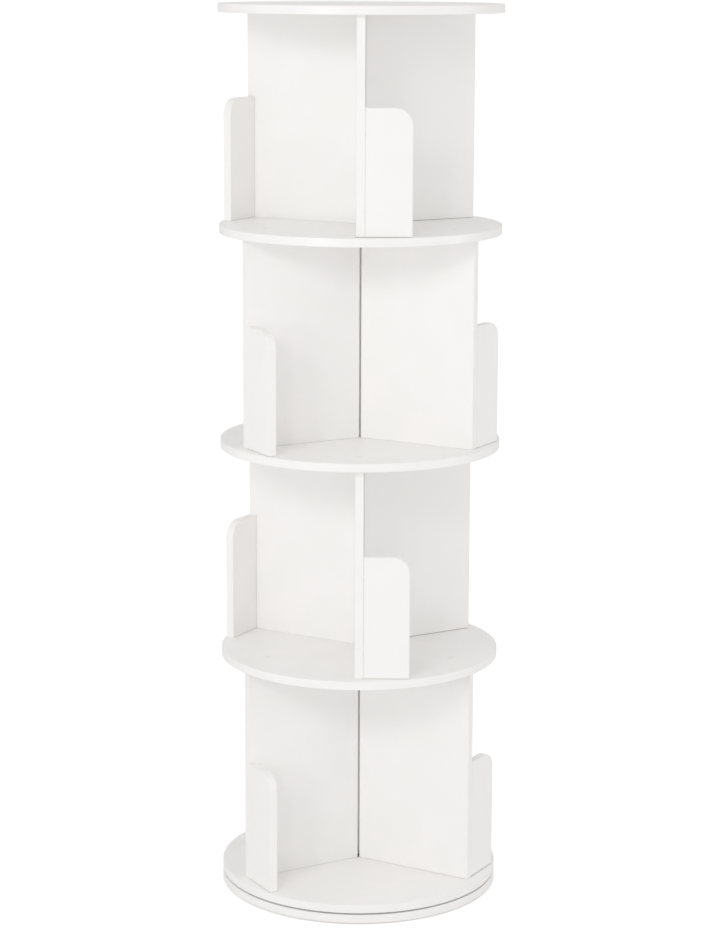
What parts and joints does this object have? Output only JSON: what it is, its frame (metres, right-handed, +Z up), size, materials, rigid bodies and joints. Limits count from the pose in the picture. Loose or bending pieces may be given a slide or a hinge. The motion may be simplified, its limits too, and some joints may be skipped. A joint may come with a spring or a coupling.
{
  "type": "rotating media tower",
  "caption": "Free-standing white media tower of round shelves, with upright panels set like spokes and low stops, turning on a round base.",
  "frame": {"origin": "on the floor under the middle of the base", "axes": "+Z up along the axis the tower turns about, -Y towards the front view"},
  "size_m": [0.3999, 0.4, 1.2745],
  "materials": {
    "white_melamine": "satin white melamine on board, with white edging",
    "white_plastic": "moulded white plug",
    "zinc_steel": "bright zinc plate",
    "nylon": "natural nylon",
    "beech": "bare beech",
    "felt": "pressed felt"
  },
  "bodies": {
    "base": {"foot_pads": "felt", "base_board": "white_melamine", "glides": "nylon", "pivot_bolt": "zinc_steel", "pivot_washer": "zinc_steel", "pivot_nut": "zinc_steel"},
    "tower": {"bottom_board": "white_melamine", "pivot_bush": "nylon", "screw_plugs": "white_plastic", "shelf_1": "white_melamine", "shelf_2": "white_melamine", "shelf_3": "white_melamine", "tier_1_dowels": "beech", "tier_1_foot_screws": "zinc_steel", "tier_1_head_screws": "zinc_steel", "tier_1_panel_1": "white_melamine", "tier_1_panel_2": "white_melamine", "tier_1_panel_3": "white_melamine", "tier_1_stop_1": "white_melamine", "tier_1_stop_2": "white_melamine", "tier_1_stop_3": "white_melamine", "tier_2_dowels": "beech", "tier_2_foot_screws": "zinc_steel", "tier_2_head_screws": "zinc_steel", "tier_2_panel_1": "white_melamine", "tier_2_panel_2": "white_melamine", "tier_2_panel_3": "white_melamine", "tier_2_stop_1": "white_melamine", "tier_2_stop_2": "white_melamine", "tier_2_stop_3": "white_melamine", "tier_3_dowels": "beech", "tier_3_foot_screws": "zinc_steel", "tier_3_head_screws": "zinc_steel", "tier_3_panel_1": "white_melamine", "tier_3_panel_2": "white_melamine", "tier_3_panel_3": "white_melamine", "tier_3_stop_1": "white_melamine", "tier_3_stop_2": "white_melamine", "tier_3_stop_3": "white_melamine", "tier_4_dowels": "beech", "tier_4_foot_screws": "zinc_steel", "tier_4_head_screws": "zinc_steel", "tier_4_panel_1": "white_melamine", "tier_4_panel_2": "white_melamine", "tier_4_panel_3": "white_melamine", "tier_4_stop_1": "white_melamine", "tier_4_stop_2": "white_melamine", "tier_4_stop_3": "white_melamine", "top_board": "white_melamine"}
  },
  "joints": [
    {"name": "tower_spin", "type": "hinge", "parent": "base", "child": "tower", "pos_m": [0, 0, 0.0195], "axis": [0, 0, 1], "continuous": true}
  ]
}
